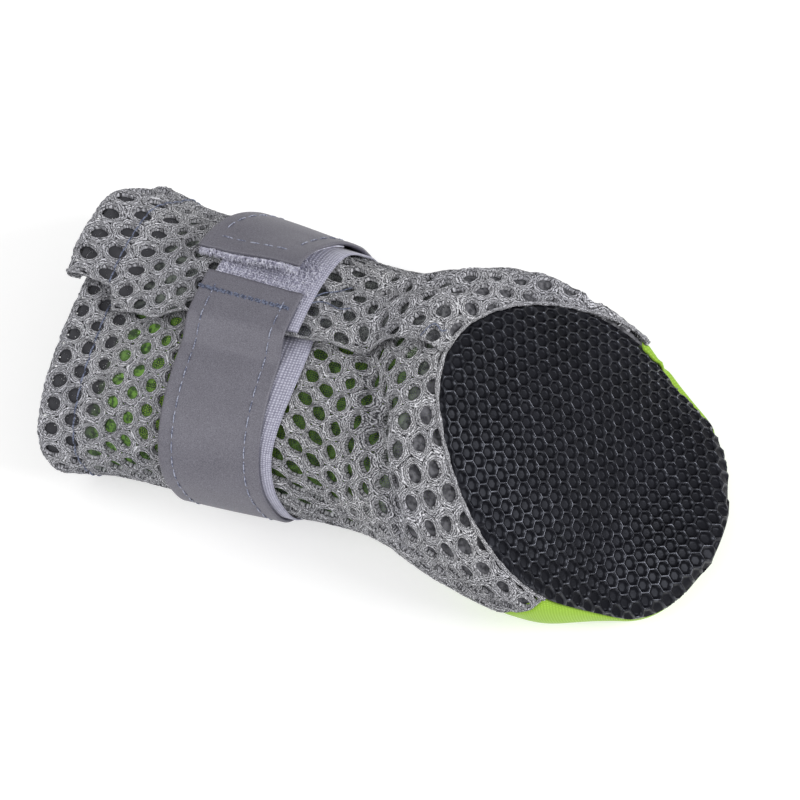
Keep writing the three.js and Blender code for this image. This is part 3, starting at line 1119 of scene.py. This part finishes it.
def loose_ends():
    """Three cut ends of thread that lie on the mesh."""
    t = np.linspace(0, 1, 14)
    ends = []
    for start, stop in THREAD_ENDS:
        u, deg = lerp(start[0], stop[0], t), lerp(start[1], stop[1], t) + 3 * np.sin(t * 5)
        height = flap_top(u, deg) + 0.3 + 0.12 * np.sin(t * 7)
        ends.append(cord_of(cloth(u, deg, height, level=0.2), radius=0.12, sides=6))
    return joined("thread_ends", ends, NAVY)


# ------ turned edges and pile
def cord_of(path, radius, sides=8):
    """Points, faces and chart of a round roll along a path in millimetres."""
    forward = unit(np.gradient(path, axis=0))
    across = unit(np.cross(forward, [0.02, 0.03, 1.0]))
    radius = np.broadcast_to(radius, len(path))
    points = rolled(path, across, np.cross(across, forward), radius, sides)
    uv = np.stack(np.broadcast_arrays(arc_length(path)[:, None], np.arange(sides) * 0.35), -1)
    return points, tube_faces(0, len(path), sides), uv.reshape(-1, 2)


def joined(name, parts, material):
    """One piece of several sets of points, faces and charts."""
    points, faces, uv = [], [], []
    base = 0
    for own_points, own_faces, own_uv in parts:
        points.append(own_points)
        uv.append(own_uv)
        faces += [tuple(base + k for k in face) for face in own_faces]
        base += len(own_points)
    return new_piece(name, np.concatenate(points), faces, material, uv=np.concatenate(uv))


def edge_rolls():
    """Rolls where the mesh is turned under: at the outsole, at the flap's free edge, and beside the
    front panel, on both layers of the hem."""
    heel = SOLE["heel"]
    u = np.concatenate([np.linspace(MESH_END, heel + 0.02, 120), [heel - 0.01]])
    left = 90 - sole_spread(u) - 1.0
    u, deg = np.concatenate([u, u[::-1]]), np.concatenate([left, 180 - left[::-1]])
    lumps = 0.42 + 0.16 * wobble(np.arange(len(u)) * 1.1, deg / 5, 6.0)
    parts = [cord_of(cloth(u, deg, -0.05, level=0.4), lumps)]

    u = np.linspace(0.0, 5.05, 240)
    deg = at_u(FLAP, u) + 0.6
    free = cloth(lapped(u, deg), deg, flap_top(u, deg) - 0.3, level=0.4)
    parts.append(cord_of(free, 0.34 + 0.14 * wobble(u * 21, u * 7, 2.0)))

    u = np.linspace(0.0, MESH_END, 260)
    deg = at_u(FRONT_EDGE, u) + 0.4
    hem = u < 0.62
    for side in (deg, 180 - deg):
        outer = cloth(u, side, -0.42, level=0.5)
        parts.append(cord_of(outer, 0.46 + 0.05 * wobble(u * 9, u * 3, 7.0)))
        inner = cloth(u[hem], side[hem], -2 * FOLD_R, level=0.6)
        parts.append(cord_of(inner, 0.42 + 0.08 * wobble(u[hem] * 19, u[hem] * 7, 3.0)))
    return joined("mesh_edges", parts, KNIT)


PILE = {"loops": 1700, "on_tape": 901, "radius": 0.055, "sides": 4}


def pile():
    """Standing loops of the tape between the strap's start and its free end, and under that end."""
    rng = np.random.default_rng(7)
    parts = []
    for k in range(PILE["loops"]):
        at_end = k >= PILE["on_tape"]
        deg = np.array(rng.uniform(-250, -247.2) if at_end else rng.uniform(-262, -238))
        b = rng.uniform(0.02, 0.98) if at_end else rng.uniform(0.02, 0.93)
        if at_end:
            u = band_u(STRAP, deg, b, strap_shift)
            depth = rng.uniform(0.25, HOOK["thick"] + GAP + 0.35)
            h = strap_base(deg) + corner_lift(deg, b) - depth
        else:
            u = np.array(lerp(TAPE["from"], TAPE["to"], b))
            h = tape_base(deg) + TAPE["thick"]
        turn = rng.uniform(0, math.pi)
        wide, tall = rng.uniform(0.22, 0.42), rng.uniform(0.35, 0.75)
        t = np.linspace(-0.3, math.pi + 0.3, 7)
        middle, n = raised(u, deg, h - 0.05)
        side = np.cross(n, [math.cos(turn), math.sin(turn), 0.1])
        side /= np.linalg.norm(side)
        path = middle + np.outer(np.cos(t) * wide, side) + np.outer(np.sin(t) * tall, n)
        path += np.cross(n, side) * (rng.normal(0, 0.12) * np.sin(t))[:, None]
        parts.append(cord_of(path, PILE["radius"], PILE["sides"]))
    return joined("tape_pile", parts, FUZZ)


# ------ build
left_mesh = knit_panel("mesh_left", "left")
right_mesh = knit_panel("mesh_right", "right")
left_net = net_panel("net_left", "left", LEFT_NET)
right_net = net_panel("net_right", "right", RIGHT_NET)
front = front_panel()
sole = outsole()
tape = band("tape", TAPE, tape_base, tape_shift, 260, 26, TAPE_CLOTH)
strap = band("closure_strap", STRAP, strap_base, strap_shift, 360, 40, BAND, strap_dent, True)
hooks = band("hook_strip", {**STRAP, **HOOK}, hook_base, hook_shift, 40, 26, FUZZ, None, True)
hem_thread, strap_thread = hem_seams(), strap_seams()
bar_tack, thread_ends = bar_seam(), loose_ends()
edges = edge_rolls()
loops = pile()

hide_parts("upper")
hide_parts("upper")
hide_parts("upper")
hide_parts("sole")
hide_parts("loop_tape")
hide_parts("strap")
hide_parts("hook_patch")

# ------ floor, light and camera
FAR = 3  # metres from the middle of the floor to its edges
me = bpy.data.meshes.new("floor")
me.from_pydata([(-FAR, -FAR, 0), (FAR, -FAR, 0), (FAR, FAR, 0), (-FAR, FAR, 0)], [], [(0, 1, 2, 3)])
me.materials.append(floor_material())
floor = new_object("floor", me)
floor.location.z = -0.00002  # just clear of the boot's lowest point

world = bpy.data.worlds.new("studio")
world.use_nodes = True
sky = world.node_tree.nodes["Background"].inputs
sky["Color"].default_value, sky["Strength"].default_value = (1, 1, 1, 1), 0.62
bpy.context.scene.world = world


def soft_light(name, direction, distance, size, power):
    data = bpy.data.lights.new(name, "AREA")
    data.shape, data.size, data.energy = "DISK", size, power
    o = new_object(name, data)
    d = Vector(direction).normalized()
    o.location = d * distance
    o.rotation_euler = d.to_track_quat("Z", "Y").to_euler()


soft_light("key", (0.79, 0.05, 0.6), distance=1.0, size=0.42, power=5.4)
soft_light("fill", (-0.6, -0.5, 0.7), distance=1.1, size=0.7, power=3.8)

AZIMUTH, ELEVATION, ROLL = (math.radians(a) for a in (25.6, 62.2, -5.4))
AIM = Vector((3.58, 0, 15)) * MM
DISTANCE = 0.5517
back = Vector((math.sin(AZIMUTH) * math.cos(ELEVATION), -math.cos(AZIMUTH) * math.cos(ELEVATION),
               math.sin(ELEVATION)))
level = Vector((math.cos(AZIMUTH), math.sin(AZIMUTH), 0))
above = back.cross(level)
right = level * math.cos(ROLL) + above * math.sin(ROLL)
upward = -level * math.sin(ROLL) + above * math.cos(ROLL)
camera = new_object("camera", bpy.data.cameras.new("camera"))
camera.data.sensor_width, camera.data.lens = 36, 125.37
camera.data.shift_x, camera.data.shift_y = -0.0065, 0.0175
camera.data.clip_start = 0.01
turned = Matrix((right, upward, back)).transposed()
camera.matrix_world = Matrix.Translation(AIM + back * DISTANCE) @ turned.to_4x4()
bpy.context.scene.camera = camera
bpy.context.scene.view_settings.view_transform = "Standard"
